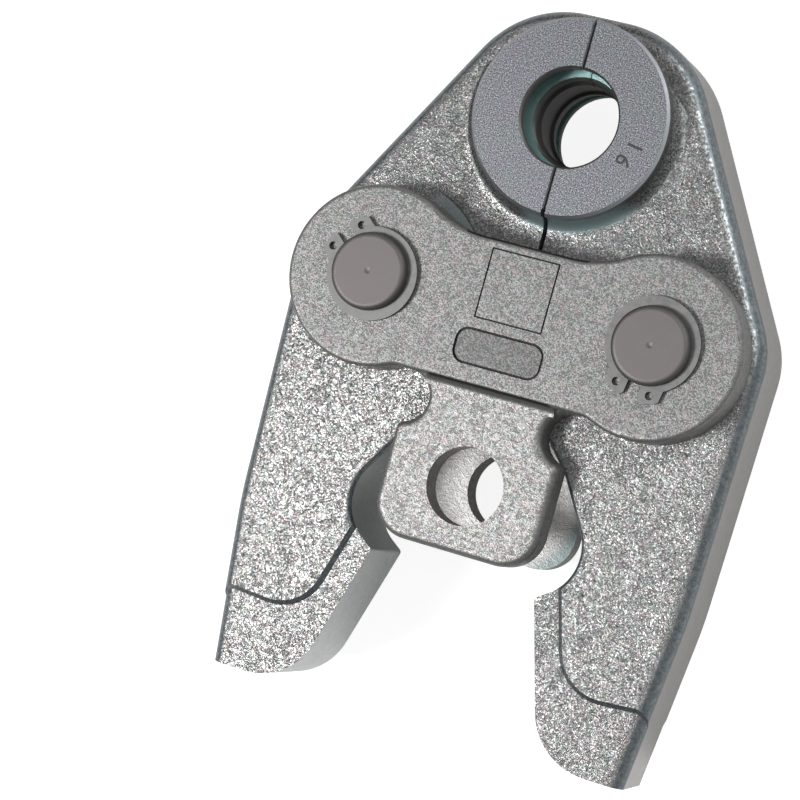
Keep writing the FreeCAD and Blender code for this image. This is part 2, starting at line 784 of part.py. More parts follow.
def make_pin(label, side):
    """Pivot pin turned about its own axis."""
    body = new_body(label)
    section = new_sketch(body, label + "_section", "XZ_Plane")
    draw_profile(section, pin_loop())
    turned = body.newObject("PartDesign::Revolution", label + "_turned")
    turned.Profile = section
    turned.ReferenceAxis = (section, ["V_Axis"])
    turned.Angle = 360.0
    bind(body, "Placement.Base.x", f"{side} * sizes.pivot_half_spacing")
    bind(body, "Placement.Base.y", "sizes.pivot_height")
    document.recompute()
    return body


def ring_corners():
    """External retaining ring with its ears towards +Y."""
    inside = size("pin_radius") - size("ring_groove_depth")
    gap = size("ear_gap") / 2.0
    outer = inside + size("ring_width") - size("ring_taper") / 2.0
    drop = size("ring_taper") / 2.0
    ear_x = gap + size("ear_width")
    ear_y = size("pin_radius") + size("ear_reach")
    lean = size("ear_width") * 0.35
    root = math.degrees(math.acos(ear_x / outer))
    inner_angle = math.degrees(math.acos(gap / inside))
    corner = size("ear_width") * 0.2
    return [
        ("round", 0.0, -drop, outer, root, -180.0 - root),
        (-ear_x, ear_y - lean, corner),
        (-gap - corner, ear_y, corner),
        (-gap, ear_y - corner),
        ("round", 0.0, 0.0, inside, -180.0 - inner_angle, inner_angle),
        (gap, ear_y - corner),
        (gap + corner, ear_y, corner),
        (ear_x, ear_y - lean, corner),
    ]


def make_ring(label, side, sign, direction):
    """Retaining ring in the groove of a pin; direction is where its ears point."""
    body = new_body(label)
    outline = new_sketch(body, label + "_outline")
    draw_profile(outline, ring_corners())
    add_pad(body, outline, label + "_ring", "sizes.ring_thickness")
    holes = new_sketch(body, label + "_plier_circles")
    for hand in (-1, 1):
        draw_circle(
            holes,
            f"{hand} * (sizes.ear_gap + sizes.ear_width) / 2",
            "sizes.pin_radius + sizes.ear_hole_reach",
            "sizes.ear_hole_radius",
        )
    cut_through(body, holes, label + "_plier_holes")
    bar_face = "(sizes.jaw_thickness / 2 + sizes.plate_clearance + sizes.bar_thickness)"
    bind(body, "Placement.Base.x", f"{side} * sizes.pivot_half_spacing")
    bind(body, "Placement.Base.y", "sizes.pivot_height")
    rest = bar_face if sign > 0 else f"-{bar_face} - sizes.ring_thickness"
    # the ears are drawn towards +Y
    body.Placement.Rotation = FreeCAD.Rotation(Vector(0, 0, 1), direction - 90.0)
    bind(body, "Placement.Base.z", rest)
    document.recompute()
    return body


# Closing spring

def make_spring(label):
    """Coil spring along X between the seats of the two levers."""
    wire = size("wire_radius")
    floor = seat_floor()
    length = 2.0 * (floor - wire)
    pitch = length / size("coil_turns")
    path = Part.makeHelix(pitch, length, size("coil_radius"))
    circle = Part.makeCircle(wire, Vector(size("coil_radius"), 0, 0), Vector(0, 1, 0))
    coil = Part.Wire(path).makePipeShell([Part.Wire(circle)], True, True)
    spring = document.addObject("Part::Feature", label)
    spring.Label = label
    spring.Shape = coil
    turn = FreeCAD.Rotation(Vector(0, 1, 0), 90.0)
    start = Vector(-length / 2.0, size("pivot_height") - size("seat_drop"), 0)
    spring.Placement = FreeCAD.Placement(start, turn)
    return spring


pieces = [make_jaw("jaw_left", -1), make_jaw("jaw_right", 1)]
front = make_plate("side_plate_front", 1)
mark_plate(front, 1)
pieces += [front, make_plate("side_plate_rear", -1)]
for side, hand in ((-1, "left"), (1, "right")):
    pieces.append(make_pin(f"pivot_pin_{hand}", side))
    for sign, face in ((1, "front"), (-1, "rear")):
        direction = EAR_DIRECTIONS[f"{face}_{hand}"]
        pieces.append(make_ring(f"retaining_ring_{face}_{hand}", side, sign, direction))
pieces.append(make_spring("closing_spring"))
document.recompute()

for item in document.Objects:
    if "Invalid" in item.State or "Error" in item.State:
        raise RuntimeError(f"{item.Label} failed: {item.State}")
os.makedirs("parts", exist_ok=True)
for piece in pieces:
    shape = piece.Shape
    if shape.isNull() or not shape.isValid() or not shape.Solids:
        raise RuntimeError(piece.Label + " has no valid solid")
    shape.exportStep(f"parts/{piece.Label}.step")
    box = shape.BoundBox
    print(
        f"{piece.Label}: {len(shape.Solids)} solid, {shape.Volume:.0f} mm3, "
        f"x {box.XMin:.1f} to {box.XMax:.1f}, y {box.YMin:.1f} to {box.YMax:.1f}, "
        f"z {box.ZMin:.1f} to {box.ZMax:.1f}"
    )
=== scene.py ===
import bmesh
import bpy
import json
import math
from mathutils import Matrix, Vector


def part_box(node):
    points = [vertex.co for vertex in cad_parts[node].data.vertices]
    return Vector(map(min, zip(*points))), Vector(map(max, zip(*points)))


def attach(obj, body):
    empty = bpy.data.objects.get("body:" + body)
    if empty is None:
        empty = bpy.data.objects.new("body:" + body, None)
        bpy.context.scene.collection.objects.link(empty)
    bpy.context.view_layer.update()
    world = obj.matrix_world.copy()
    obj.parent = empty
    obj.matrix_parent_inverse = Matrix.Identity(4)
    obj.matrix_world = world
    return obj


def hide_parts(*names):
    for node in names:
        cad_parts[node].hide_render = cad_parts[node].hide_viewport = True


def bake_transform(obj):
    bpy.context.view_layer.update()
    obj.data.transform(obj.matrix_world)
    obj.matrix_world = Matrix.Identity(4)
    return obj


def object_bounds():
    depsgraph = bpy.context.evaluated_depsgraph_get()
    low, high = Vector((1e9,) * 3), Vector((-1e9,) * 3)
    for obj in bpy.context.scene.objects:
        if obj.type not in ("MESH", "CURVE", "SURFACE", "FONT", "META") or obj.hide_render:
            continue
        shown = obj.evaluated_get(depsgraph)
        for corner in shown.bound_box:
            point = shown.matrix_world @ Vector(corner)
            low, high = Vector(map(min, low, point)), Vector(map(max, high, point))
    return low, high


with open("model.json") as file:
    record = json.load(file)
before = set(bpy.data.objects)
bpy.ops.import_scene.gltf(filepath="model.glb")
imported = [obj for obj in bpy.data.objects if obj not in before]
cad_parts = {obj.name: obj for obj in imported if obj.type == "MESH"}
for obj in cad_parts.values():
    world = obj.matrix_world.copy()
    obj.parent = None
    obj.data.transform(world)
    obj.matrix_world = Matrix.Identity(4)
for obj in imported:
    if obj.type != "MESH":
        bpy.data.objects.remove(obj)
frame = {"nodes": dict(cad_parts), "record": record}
cad_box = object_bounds()

mounts = {mount["name"]: mount for mount in frame["record"]["mounts"]}


def box_in_mm(node):
    """Lowest and highest corner of a solid at rest, in millimetres."""
    low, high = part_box(node)
    return low * 1000.0, high * 1000.0


# Places and sizes of the solids, in millimetres. The origin is in the tool-pin hole at mid-thickness.
pin_low, pin_high = box_in_mm("pivot_pin_right")
plate_low, plate_high = box_in_mm("side_plate_front")
spring_low, spring_high = box_in_mm("closing_spring")
PIVOT_X = (pin_low.x + pin_high.x) / 2.0
PIVOT_Y = (pin_low.y + pin_high.y) / 2.0
DIE_Y = mounts["die_bore"]["pos_m"][1] * 1000.0
EYE_RADIUS = mounts["tool_pin_bore"]["dims"]["r_mm"]
BOSS_FACE = box_in_mm("jaw_right")[1].z
BOSS_RADIUS = 18.05
BORE_REACH = 11.6
GROOVE_FLOOR = 8.2
SPOT_RADIUS = 18.2
BAR_FACE = plate_high.z
PLATE_BACK = plate_low.z
LEVER_FACE = PLATE_BACK - 0.1
SEAT_FLOOR = spring_high.x
WIRE_RADIUS = 0.65
COIL_RADIUS = spring_high.z - WIRE_RADIUS
COIL_Y = (spring_low.y + spring_high.y) / 2.0
COIL_TURNS = 8.0
COIL_STEPS = 120
WIRE_SIDES = 12
SIZE_MARK_HEIGHT = 2.9
SIZE_MARK_LIFT = 0.02

# Where a finish or a painted light begins and where it is full, in millimetres, across the part (X)
# or along it (Y)
ARM_ALONG = (36.0, 16.0)
ARM_GRAIN_AND_LIGHT_ACROSS = (4.0, -4.0)
INNER_WALL_ACROSS = (36.0, 34.0)
INNER_WALL_ALONG = (18.0, 16.0)
PAINTED_GLINT_ACROSS = (8.0, 16.0)
PAINTED_GLINT_ALONG = (28.0, 40.0)
SPOT_ALONG = (41.0, 42.5)
SPOT_LEFT_END = (-23.5, -19.0)
SPOT_RIGHT_END = (-5.0, -8.0)
HOLLOW_LIGHT_ACROSS = (8.0, 0.0)
TINT_ALONG = (DIE_Y - 11.0, DIE_Y - 15.0)
TINT_ACROSS = (-6.0, -2.0)
RIM_HIGHLIGHT_ACROSS = (2.0, 12.0)
TONGUE_ALONG = (17.5, 16.0)
SUNK_MARK_ACROSS = (12.0, 11.0)

# In metres
REST_HEIGHT = cad_box[0].z
FLOOR_HALF_WIDTH = 1.5
LIGHT_AIM = (0.0, DIE_Y / 3000.0, 0.0)
CAMERA_PLACE = (0.1334, 0.01473, 0.47398)

CAMERA_DEGREES = (4.629, 17.472, 16.298)
LENS_MM = 121.68


# Node helpers

def add_node(tree, kind, inputs=None, **settings):
    """One node; an input is a plain value or another node's socket."""
    made = tree.nodes.new(kind)
    for key, value in settings.items():
        setattr(made, key, value)
    for name, value in (inputs or {}).items():
        socket = made.inputs[name]
        if isinstance(value, bpy.types.NodeSocket):
            tree.links.new(value, socket)
        else:
            socket.default_value = value
    return made


def compute(tree, operation, *values):
    """Result of one operation on numbers."""
    made = add_node(tree, "ShaderNodeMath", dict(enumerate(values)), operation=operation)
    return made.outputs[0]


def product(tree, first, *others):
    """Numbers or masks multiplied together."""
    result = first
    for other in others:
        result = compute(tree, "MULTIPLY", result, other)
    return result


def total(tree, first, *others):
    """Numbers added up."""
    result = first
    for other in others:
        result = compute(tree, "ADD", result, other)
    return result


def highest(tree, first, *others):
    """The largest of several masks."""
    result = first
    for other in others:
        result = compute(tree, "MAXIMUM", result, other)
    return result


def inverse(tree, mask):
    """Everywhere that a mask isn't."""
    return compute(tree, "SUBTRACT", 1.0, mask)


def spread(tree, value, low, high, to_low=0.0, to_high=1.0):
    """Clamped smooth change of a value from one range to another."""
    made = add_node(tree, "ShaderNodeMapRange", {
        "Value": value,
        "From Min": low,
        "From Max": high,
        "To Min": to_low,
        "To Max": to_high,
    }, interpolation_type="SMOOTHSTEP")
    return made.outputs["Result"]


def rgb(red, green, blue):
    """Opaque colour."""
    return (red, green, blue, 1.0)


def grey(level):
    """Opaque grey."""
    return rgb(level, level, level)


def blend_values(tree, factor, first, second):
    """Between two numbers by a factor."""
    made = add_node(tree, "ShaderNodeMix", {0: factor, 2: first, 3: second}, data_type="FLOAT")
    return made.outputs[0]


def blend_colours(tree, factor, first, second, kind="MIX"):
    """Between two colours by a factor."""
    inputs = {0: factor, 6: first, 7: second}
    made = add_node(tree, "ShaderNodeMix", inputs, data_type="RGBA", blend_type=kind)
    return made.outputs[2]


def shade(tree, value, low, high, first, second):
    """The first colour where a value is low, the second where it is high."""
    return blend_colours(tree, spread(tree, value, low, high), first, second)


def noise(tree, place, scale, detail=2.0, roughness=0.5, distortion=0.0):
    """Soft noise with so many cells a millimetre."""
    made = add_node(tree, "ShaderNodeTexNoise", {
        "Vector": place,
        "Scale": scale,
        "Detail": detail,
        "Roughness": roughness,
        "Distortion": distortion,
    })
    return made.outputs["Fac"]


def cells(tree, place, scale):
    """Distance to the nearest of scattered points."""
    made = add_node(tree, "ShaderNodeTexVoronoi", {"Vector": place, "Scale": scale})
    return made.outputs["Distance"]


def parts_of(tree, vector):
    """The three parts of a vector."""
    return tuple(add_node(tree, "ShaderNodeSeparateXYZ", {0: vector}).outputs)


def place_in_mm(tree):
    """Place on the part in millimetres."""
    coordinates = add_node(tree, "ShaderNodeTexCoord")
    inputs = {0: coordinates.outputs["Object"], 3: 1000.0}
    return add_node(tree, "ShaderNodeVectorMath", inputs, operation="SCALE").outputs[0]


def upward(tree):
    """How far the surface faces out of the front or the rear, 0 to 1."""
    geometry = add_node(tree, "ShaderNodeNewGeometry")
    return compute(tree, "ABSOLUTE", parts_of(tree, geometry.outputs["Normal"])[2])


def distance_to(tree, x, y, centre_x, centre_y):
    """Distance from an axis along Z."""
    across = compute(tree, "SUBTRACT", x, centre_x)
    along = compute(tree, "SUBTRACT", y, centre_y)
    squares = total(tree, product(tree, across, across), product(tree, along, along))
    return compute(tree, "SQRT", squares)


def relief(tree, height, depth_mm, strength=1.0, below=None):
    """Bump from a height between 0 and 1, so many millimetres deep."""
    inputs = {"Height": height, "Distance": depth_mm / 1000.0, "Strength": strength}
    if below:
        inputs["Normal"] = below
    return add_node(tree, "ShaderNodeBump", inputs).outputs[0]


def new_material(name):
    """Empty material and its tree."""
    material = bpy.data.materials.new(name)
    material.use_nodes = True
    material.node_tree.nodes.clear()
    return material, material.node_tree


def finish_material(tree, inputs):
    """Metal surface on the material's output."""
    surface = add_node(tree, "ShaderNodeBsdfPrincipled", inputs)
    add_node(tree, "ShaderNodeOutputMaterial", {"Surface": surface.outputs[0]})


# Patterns

def mottle(tree, place, colour, scale=0.5):
    """Faint green, rose and straw patches over a colour."""
    green_and_rose = shade(tree, noise(tree, place, scale, 2.0), 0.42, 0.58,
                           rgb(0.96, 1.005, 0.985), rgb(1.035, 0.985, 1.0))
    straw = shade(tree, noise(tree, place, 1.7 * scale, 2.0), 0.5, 0.66,
                  rgb(1.0, 1.0, 1.01), rgb(1.02, 1.01, 0.96))
    tinted = blend_colours(tree, 1.0, colour, green_and_rose, "MULTIPLY")
    return blend_colours(tree, 1.0, tinted, straw, "MULTIPLY")


def creases(tree, place, scale, width):
    """Thin wandering folds: 0 in a fold, 1 between them."""
    field = noise(tree, place, scale, 3.0, 0.62, 1.2)
    off_middle = compute(tree, "ABSOLUTE", compute(tree, "SUBTRACT", field, 0.5))
    return spread(tree, off_middle, 0.0, width)


# Forged levers

def lever_masks(tree, place):
    """Where each kind of surface of a lever is, and where light and shade are painted, 0 to 1."""
    x, y, z = parts_of(tree, place)
    across = compute(tree, "ABSOLUTE", x)
    height = compute(tree, "ABSOLUTE", z)
    level = upward(tree)
    from_die = distance_to(tree, x, y, 0.0, DIE_Y)
    from_pivot = distance_to(tree, across, y, PIVOT_X, PIVOT_Y)
    face = spread(tree, level, 0.86, 0.97)
    off_face = inverse(tree, face)
    wall = spread(tree, level, 0.2, 0.1)
    boss_face = product(tree, spread(tree, height, BOSS_FACE - 0.4, BOSS_FACE - 0.3), face)
    off_boss_face = inverse(tree, boss_face)
    bore = product(tree, spread(tree, from_die, BORE_REACH + 0.4, BORE_REACH), off_boss_face)
    boss_side = product(tree, spread(tree, from_die, BOSS_RADIUS - 0.1, BOSS_RADIUS + 0.1),
                        spread(tree, from_die, BOSS_RADIUS + 2.95, BOSS_RADIUS + 1.35),
                        off_face, off_boss_face)
    spot = product(tree, spread(tree, from_pivot, SPOT_RADIUS + 0.4, SPOT_RADIUS), face,
                   spread(tree, y, *SPOT_ALONG), spread(tree, x, *SPOT_LEFT_END),
                   spread(tree, x, *SPOT_RIGHT_END))
    smooth = highest(tree, boss_face, bore, spot, boss_side)
    return {
        "face": face,
        "wall": wall,
        "inner_wall_and_painted_light": product(tree, wall, spread(tree, across, *INNER_WALL_ACROSS),
                              spread(tree, y, *INNER_WALL_ALONG)),
        "wall_corner": product(tree, spread(tree, level, 0.06, 0.14),
                               spread(tree, level, 0.42, 0.22)),
        "painted_glint_edge": product(tree, spread(tree, level, 0.8, 0.9), spread(tree, level, 0.98, 0.95),
                               spread(tree, x, *PAINTED_GLINT_ACROSS),
                               spread(tree, y, *PAINTED_GLINT_ALONG)),
        # Full on the left arm, a third on the right arm and none on the head: longer grain, and
        # painted light
        "arm": product(tree, spread(tree, y, *ARM_ALONG), spread(tree, x, *ARM_GRAIN_AND_LIGHT_ACROSS, 0.33, 1.0)),
        "rough_skin": product(tree, face, inverse(tree, smooth)),
        "spot": spot,
        "hollow_painted_light": product(tree, spread(tree, from_die, BOSS_RADIUS + 0.9, BOSS_RADIUS + 1.6),
                              spread(tree, from_die, BOSS_RADIUS + 6.95, BOSS_RADIUS + 4.45),
                              spread(tree, x, *HOLLOW_LIGHT_ACROSS),
                              spread(tree, height, LEVER_FACE + 0.05, LEVER_FACE + 0.2)),
        "boss_side": boss_side,
        "boss_side_tint": product(tree, spread(tree, x, *TINT_ACROSS), spread(tree, y, *TINT_ALONG)),
        "boss_rim": product(tree, spread(tree, from_die, BOSS_RADIUS - 1.0, BOSS_RADIUS - 0.5),
                            spread(tree, height, BOSS_FACE - 0.6, BOSS_FACE - 0.5), off_face),
        "rim_painted_highlight": spread(tree, x, *RIM_HIGHLIGHT_ACROSS),
        "boss_face": boss_face,
        "bore": bore,
        "bore_ledge_tint_and_painted_light": product(tree, spread(tree, height, GROOVE_FLOOR - 0.6, GROOVE_FLOOR - 0.2),
                              face),
    }


def lever_grains(tree, place, arm):
    """Patterns of the forged skin, each 0 to 1. The arms have longer grains than the head."""
    fine = noise(tree, place, 3.3, 0.6, 0.5)
    worms = noise(tree, place, 1.6, 1.2, 0.45, 2.4)
    grain = blend_values(tree, blend_values(tree, arm, 0.45, 0.8), fine, worms)
    return {
        "fine": fine,
        "worms": worms,
        "specks": spread(tree, grain, 0.38, 0.62),
        "coarse": noise(tree, place, 1.5, 3.0, 0.6, 0.8),
        "bark": noise(tree, place, 0.75, 2.0, 0.5, 1.6),
        "pits": spread(tree, cells(tree, place, 0.36), 0.13, 0.05),
        "folds": product(tree, creases(tree, place, 0.7, 0.03), creases(tree, place, 1.4, 0.03)),
        "fold_depth": blend_values(tree, arm, 0.35, 0.75),
    }


def scale_colour(tree, place, arm, grains):
    """Speckled scale of the forged faces, with dark folds and pits; lighter on the arms, most on the
    left arm, and darker on the head, as painted light.
    """
    specks = grains["specks"]
    # Lighter specks on the arms, most of all the left arm, than on the head: painted light
    dark = blend_colours(tree, arm, rgb(0.2, 0.203, 0.203), rgb(0.49, 0.486, 0.482))
    bright = blend_colours(tree, arm, grey(0.45), rgb(0.85, 0.842, 0.834))
    colour = blend_colours(tree, specks, dark, bright)
    patches = spread(tree, noise(tree, place, 0.22, 2.0), 0.4, 0.6, 0.0, 0.25)
    colour = blend_colours(tree, product(tree, patches, inverse(tree, arm)), colour, grey(0.1))
    in_folds = product(tree, inverse(tree, grains["folds"]), grains["fold_depth"])
    colour = blend_colours(tree, in_folds, colour, grey(0.07))
    colour = mottle(tree, place, colour)
    return blend_colours(tree, product(tree, grains["pits"], 0.65), colour, grey(0.09))


def wall_colour(tree, place, masks, grains, colour):
    """Smooth rounded edges and walls, over the colour of the faces, with inner walls made lighter as
    painted light and a broken painted glint on the right edge of the head.
    """
    edge = shade(tree, grains["coarse"], 0.4, 0.6,
                 rgb(0.12, 0.145, 0.155), rgb(0.2, 0.215, 0.225))
    outer = shade(tree, grains["bark"], 0.35, 0.65,
                  rgb(0.3, 0.295, 0.288), rgb(0.35, 0.34, 0.33))
    # Inner walls lighter than outer ones: partly a machined tone, partly painted light where the
    # plates and tongue shade them
    inner_tone_and_painted_light = shade(tree, grains["bark"], 0.35, 0.65,
                  rgb(0.42, 0.433, 0.433), rgb(0.49, 0.495, 0.502))
    colour = blend_colours(tree, masks["face"], edge, colour)
    wall = blend_colours(tree, masks["inner_wall_and_painted_light"], outer, inner_tone_and_painted_light)
    colour = blend_colours(tree, masks["wall"], colour, wall)
    colour = blend_colours(tree, product(tree, masks["wall_corner"], 0.55), colour, grey(0.1))
    # Painted glint: a broken bright line along the inner border of the upper right rounded edges
    glint_breaks = spread(tree, noise(tree, place, 1.3, 2.0), 0.47, 0.6)
    painted_glints = product(tree, masks["painted_glint_edge"], glint_breaks)
    return blend_colours(tree, painted_glints, colour, rgb(0.55, 0.59, 0.59))


def boss_face_colour(tree, place):
    """Fine turned face with a violet and blue tarnish, dark and bright grains."""
    fine = noise(tree, place, 4.4, 1.0, 0.5)
    colour = shade(tree, noise(tree, place, 0.2, 3.0), 0.4, 0.6,
                   rgb(0.165, 0.18, 0.187), rgb(0.172, 0.168, 0.194))
    colour = shade(tree, fine, 0.53, 0.7, colour, rgb(0.39, 0.395, 0.412))
    return shade(tree, fine, 0.48, 0.3, colour, rgb(0.037, 0.039, 0.048))


def die_colour(tree, place, masks, grains, colour):
    """Boss, its hollow, the spot face and the bore, over the colour of the rest, with painted light
    in the hollow and on the bore ledge, painted shade on the boss side and a painted highlight on the
    rim.
    """
    specks = grains["specks"]
    # Painted light: the hollow round the foot of the boss is lightened on its left side
    hollow_painted_light = blend_colours(tree, specks, grey(0.4), grey(1.0))
    colour = blend_colours(tree, product(tree, masks["hollow_painted_light"], 0.4), colour, hollow_painted_light)
    # Painted shade: the side and hollow of the boss are nearly black; low down on the right they take
    # a teal tint
    side = blend_colours(tree, specks, grey(0.07), rgb(0.24, 0.245, 0.245))
    side = blend_colours(tree, masks["boss_side_tint"], side, rgb(0.36, 0.46, 0.47))
    colour = blend_colours(tree, masks["boss_side"], colour, side)
    # Painted highlight: the boss rim is lighter on its right side
    rim = blend_colours(tree, masks["rim_painted_highlight"],
                        rgb(0.28, 0.285, 0.295), rgb(0.46, 0.48, 0.51))
    colour = blend_colours(tree, masks["boss_rim"], colour, rim)
    colour = blend_colours(tree, masks["boss_face"], colour, boss_face_colour(tree, place))
    colour = blend_colours(tree, product(tree, masks["spot"], 0.65), colour, rgb(0.27, 0.33, 0.34))
    # The teal ledge in the bore is its tint, lightened well past it as painted light in its shade
    bore = blend_colours(tree, masks["bore_ledge_tint_and_painted_light"],
                         rgb(0.16, 0.16, 0.155), rgb(0.38, 0.6, 0.585))
    return blend_colours(tree, masks["bore"], colour, bore)


def lever_relief(tree, place, arm, rough_skin, grains):
    """Bark, grains, folds and pits of the forging, nearly level on smooth surfaces."""
    heights = total(tree, product(tree, grains["bark"], blend_values(tree, arm, 0.6, 1.0)),
                    product(tree, grains["worms"], blend_values(tree, arm, 0.35, 0.55)),
                    product(tree, grains["fine"], 0.2),
                    product(tree, grains["folds"], grains["fold_depth"], 0.5),
                    product(tree, grains["pits"], -0.3))
    heights = product(tree, heights, blend_values(tree, rough_skin, 0.12, 1.0))
    skin = relief(tree, heights, 0.24)
    return relief(tree, noise(tree, place, 5.5, 1.0), 0.02, 0.5, skin)


def forged_steel(name):
    """Zinc-plated forging: speckled scale, smooth edges and walls, machined and tinted die, with
    painted light and shade in places.
    """
    material, tree = new_material(name)
    place = place_in_mm(tree)
    masks = lever_masks(tree, place)
    grains = lever_grains(tree, place, masks["arm"])
    colour = scale_colour(tree, place, masks["arm"], grains)
    colour = wall_colour(tree, place, masks, grains, colour)
    colour = die_colour(tree, place, masks, grains, colour)
    skin_gloss = spread(tree, grains["specks"], 0.0, 1.0, 0.44, 0.36)
    roughness = blend_values(tree, masks["rough_skin"], 0.36, skin_gloss)
    roughness = blend_values(tree, masks["boss_face"], roughness, 0.48)
    finish_material(tree, {
        "Base Color": colour,
        "Metallic": 0.85,
        "Roughness": roughness,
        "Normal": lever_relief(tree, place, masks["arm"], masks["rough_skin"], grains),
    })
    return material


# Side plates, pins, rings and spring

def plate_masks(tree, place):
    """Where each kind of surface of a side plate is, 0 to 1."""
    x, y, z = parts_of(tree, place)
    across = compute(tree, "ABSOLUTE", x)
    height = compute(tree, "ABSOLUTE", z)
    from_eye = distance_to(tree, x, y, 0.0, 0.0)
    face = spread(tree, upward(tree), 0.84, 0.97)
    sunk = product(tree, spread(tree, height, BAR_FACE - 0.12, BAR_FACE - 0.17),
                   spread(tree, height, BAR_FACE - 1.5, BAR_FACE - 1.0),
                   spread(tree, across, *SUNK_MARK_ACROSS))
    return {
        "face": face,
        "tongue": spread(tree, y, *TONGUE_ALONG),
        "sunk": sunk,
        "groove": product(tree, sunk, spread(tree, height, BAR_FACE - 0.22, BAR_FACE - 0.27)),
        "eye": spread(tree, from_eye, EYE_RADIUS + 0.3, EYE_RADIUS + 0.1),
        "near_eye": spread(tree, from_eye, EYE_RADIUS + 9.0, EYE_RADIUS + 6.0),
        "back": product(tree, spread(tree, height, PLATE_BACK + 1.7, PLATE_BACK + 0.7), face),
    }


def blasted_steel(name):
    """Blasted and plated side plates: fine grain on the faces, dark walls and marks, and a tongue
    made lighter as painted light.
    """
    material, tree = new_material(name)
    place = place_in_mm(tree)
    masks = plate_masks(tree, place)
    tongue = masks["tongue"]
    fine = noise(tree, place, 4.4, 1.0, 0.5)
    coarse = noise(tree, place, 1.1, 2.0, 0.5, 1.2)
    grain = blend_values(tree, blend_values(tree, tongue, 0.3, 0.5), fine, coarse)
    specks = spread(tree, grain, 0.36, 0.64)
    # The tongue has coarser grain and lighter specks than the bar; the lighter specks are painted
    # light
    dark = blend_colours(tree, tongue, rgb(0.13, 0.13, 0.129), rgb(0.16, 0.159, 0.157))
    bright = blend_colours(tree, tongue, rgb(0.2985, 0.2955, 0.2935), rgb(0.44, 0.434, 0.43))
    skin = mottle(tree, place, blend_colours(tree, specks, dark, bright))
    skin = blend_colours(tree, product(tree, masks["sunk"], 0.5), skin, rgb(0.09, 0.092, 0.092))
    skin = blend_colours(tree, masks["groove"], skin, grey(0.03))
    back_skin = blend_colours(tree, masks["near_eye"],
                              rgb(0.26, 0.31, 0.31), rgb(0.47, 0.46, 0.45))
    skin = blend_colours(tree, masks["back"], skin, back_skin)
    wall = shade(tree, coarse, 0.4, 0.6, rgb(0.17, 0.176, 0.17), rgb(0.22, 0.215, 0.21))
    eye_wall = blend_colours(tree, specks, rgb(0.22, 0.205, 0.195), rgb(0.32, 0.3, 0.285))
    wall = blend_colours(tree, masks["eye"], wall, eye_wall)
    wall = blend_colours(tree, masks["sunk"], wall, grey(0.04))
    heights = total(tree, product(tree, fine, 0.5),
                    product(tree, coarse, blend_values(tree, tongue, 0.35, 1.1)))
    heights = product(tree, heights, blend_values(tree, masks["face"], 0.15, 1.0))
    finish_material(tree, {
        "Base Color": blend_colours(tree, masks["face"], wall, skin),
        "Metallic": 0.85,
        "Roughness": spread(tree, specks, 0.0, 1.0, 0.6, 0.5),
        "Normal": relief(tree, heights, 0.13, 0.85),
    })
    return material


def ground_steel(name):
    """Satin pin ends with a warm tone and a darker rounded rim."""
    material, tree = new_material(name)
    place = place_in_mm(tree)
    stain = noise(tree, place, 0.35, 3.0, 0.6)
    end = shade(tree, stain, 0.35, 0.65, rgb(0.14, 0.127, 0.127), rgb(0.156, 0.142, 0.142))
    finish_material(tree, {
        "Base Color": shade(tree, upward(tree), 0.75, 0.97, rgb(0.115, 0.107, 0.105), end),
        "Metallic": 0.8,
        "Roughness": spread(tree, stain, 0.3, 0.7, 0.54, 0.6),
        "Normal": relief(tree, noise(tree, place, 4.0, 2.0), 0.008, 0.25),
    })
    return material


def dark_steel(name):
    """Phosphated retaining rings and spring."""
    material, tree = new_material(name)
    place = place_in_mm(tree)
    stain = noise(tree, place, 0.8, 3.0)
    finish_material(tree, {
        "Base Color": shade(tree, stain, 0.35, 0.65, grey(0.14), rgb(0.18, 0.178, 0.176)),
        "Metallic": 0.75,
        "Roughness": spread(tree, stain, 0.3, 0.7, 0.42, 0.55),
        "Normal": relief(tree, noise(tree, place, 5.0, 2.0), 0.01, 0.3),
    })
    return material


def stamped_floor(name):
    """Dark floor of the stamped size mark."""
    material, tree = new_material(name)
    stain = noise(tree, place_in_mm(tree), 3.0, 2.0)
    finish_material(tree, {
        "Base Color": shade(tree, stain, 0.35, 0.65, grey(0.035), grey(0.06)),
        "Metallic": 0.4,
        "Roughness": spread(tree, stain, 0.3, 0.7, 0.5, 0.65),
        "Normal": relief(tree, stain, 0.01, 0.3),
    })
    return material


lever_look = forged_steel("lever_skin")
plate_look = blasted_steel("plate_skin")
pin_look = ground_steel("pin_face")
ring_look = dark_steel("ring_dark")
mark_look = stamped_floor("mark_ink")
looks = {
    "jaw": lever_look,
    "side_plate": plate_look,
    "pivot_pin": pin_look,
    "retaining_ring": ring_look,
    "closing_spring": ring_look,
}
for node_name, node_object in frame["nodes"].items():
    for prefix, look in looks.items():
        if node_name.startswith(prefix):
            node_object.data.materials.clear()
            node_object.data.materials.append(look)


# Closing spring

def coil_vertices(side, half_length):
    """Rings of the round wire along half of the coil, from the middle of the part outwards."""
    vertices = []
    pitch = half_length / (math.pi * COIL_TURNS)
    for step in range(COIL_STEPS + 1):
        x = side * half_length * step / COIL_STEPS
        angle = math.pi * COIL_TURNS * (1.0 + x / half_length)
        outward = Vector((0.0, math.sin(angle), -math.cos(angle)))
        along = Vector((pitch, COIL_RADIUS * math.cos(angle), COIL_RADIUS * math.sin(angle)))
        beside = along.normalized().cross(outward)
        centre = Vector((x, COIL_Y, 0.0)) + outward * COIL_RADIUS
        for corner in range(WIRE_SIDES):
            turn = 2.0 * math.pi * corner / WIRE_SIDES
            offset = outward * math.cos(turn) + beside * math.sin(turn)
            vertices.append((centre + offset * WIRE_RADIUS) / 1000.0)
    return vertices


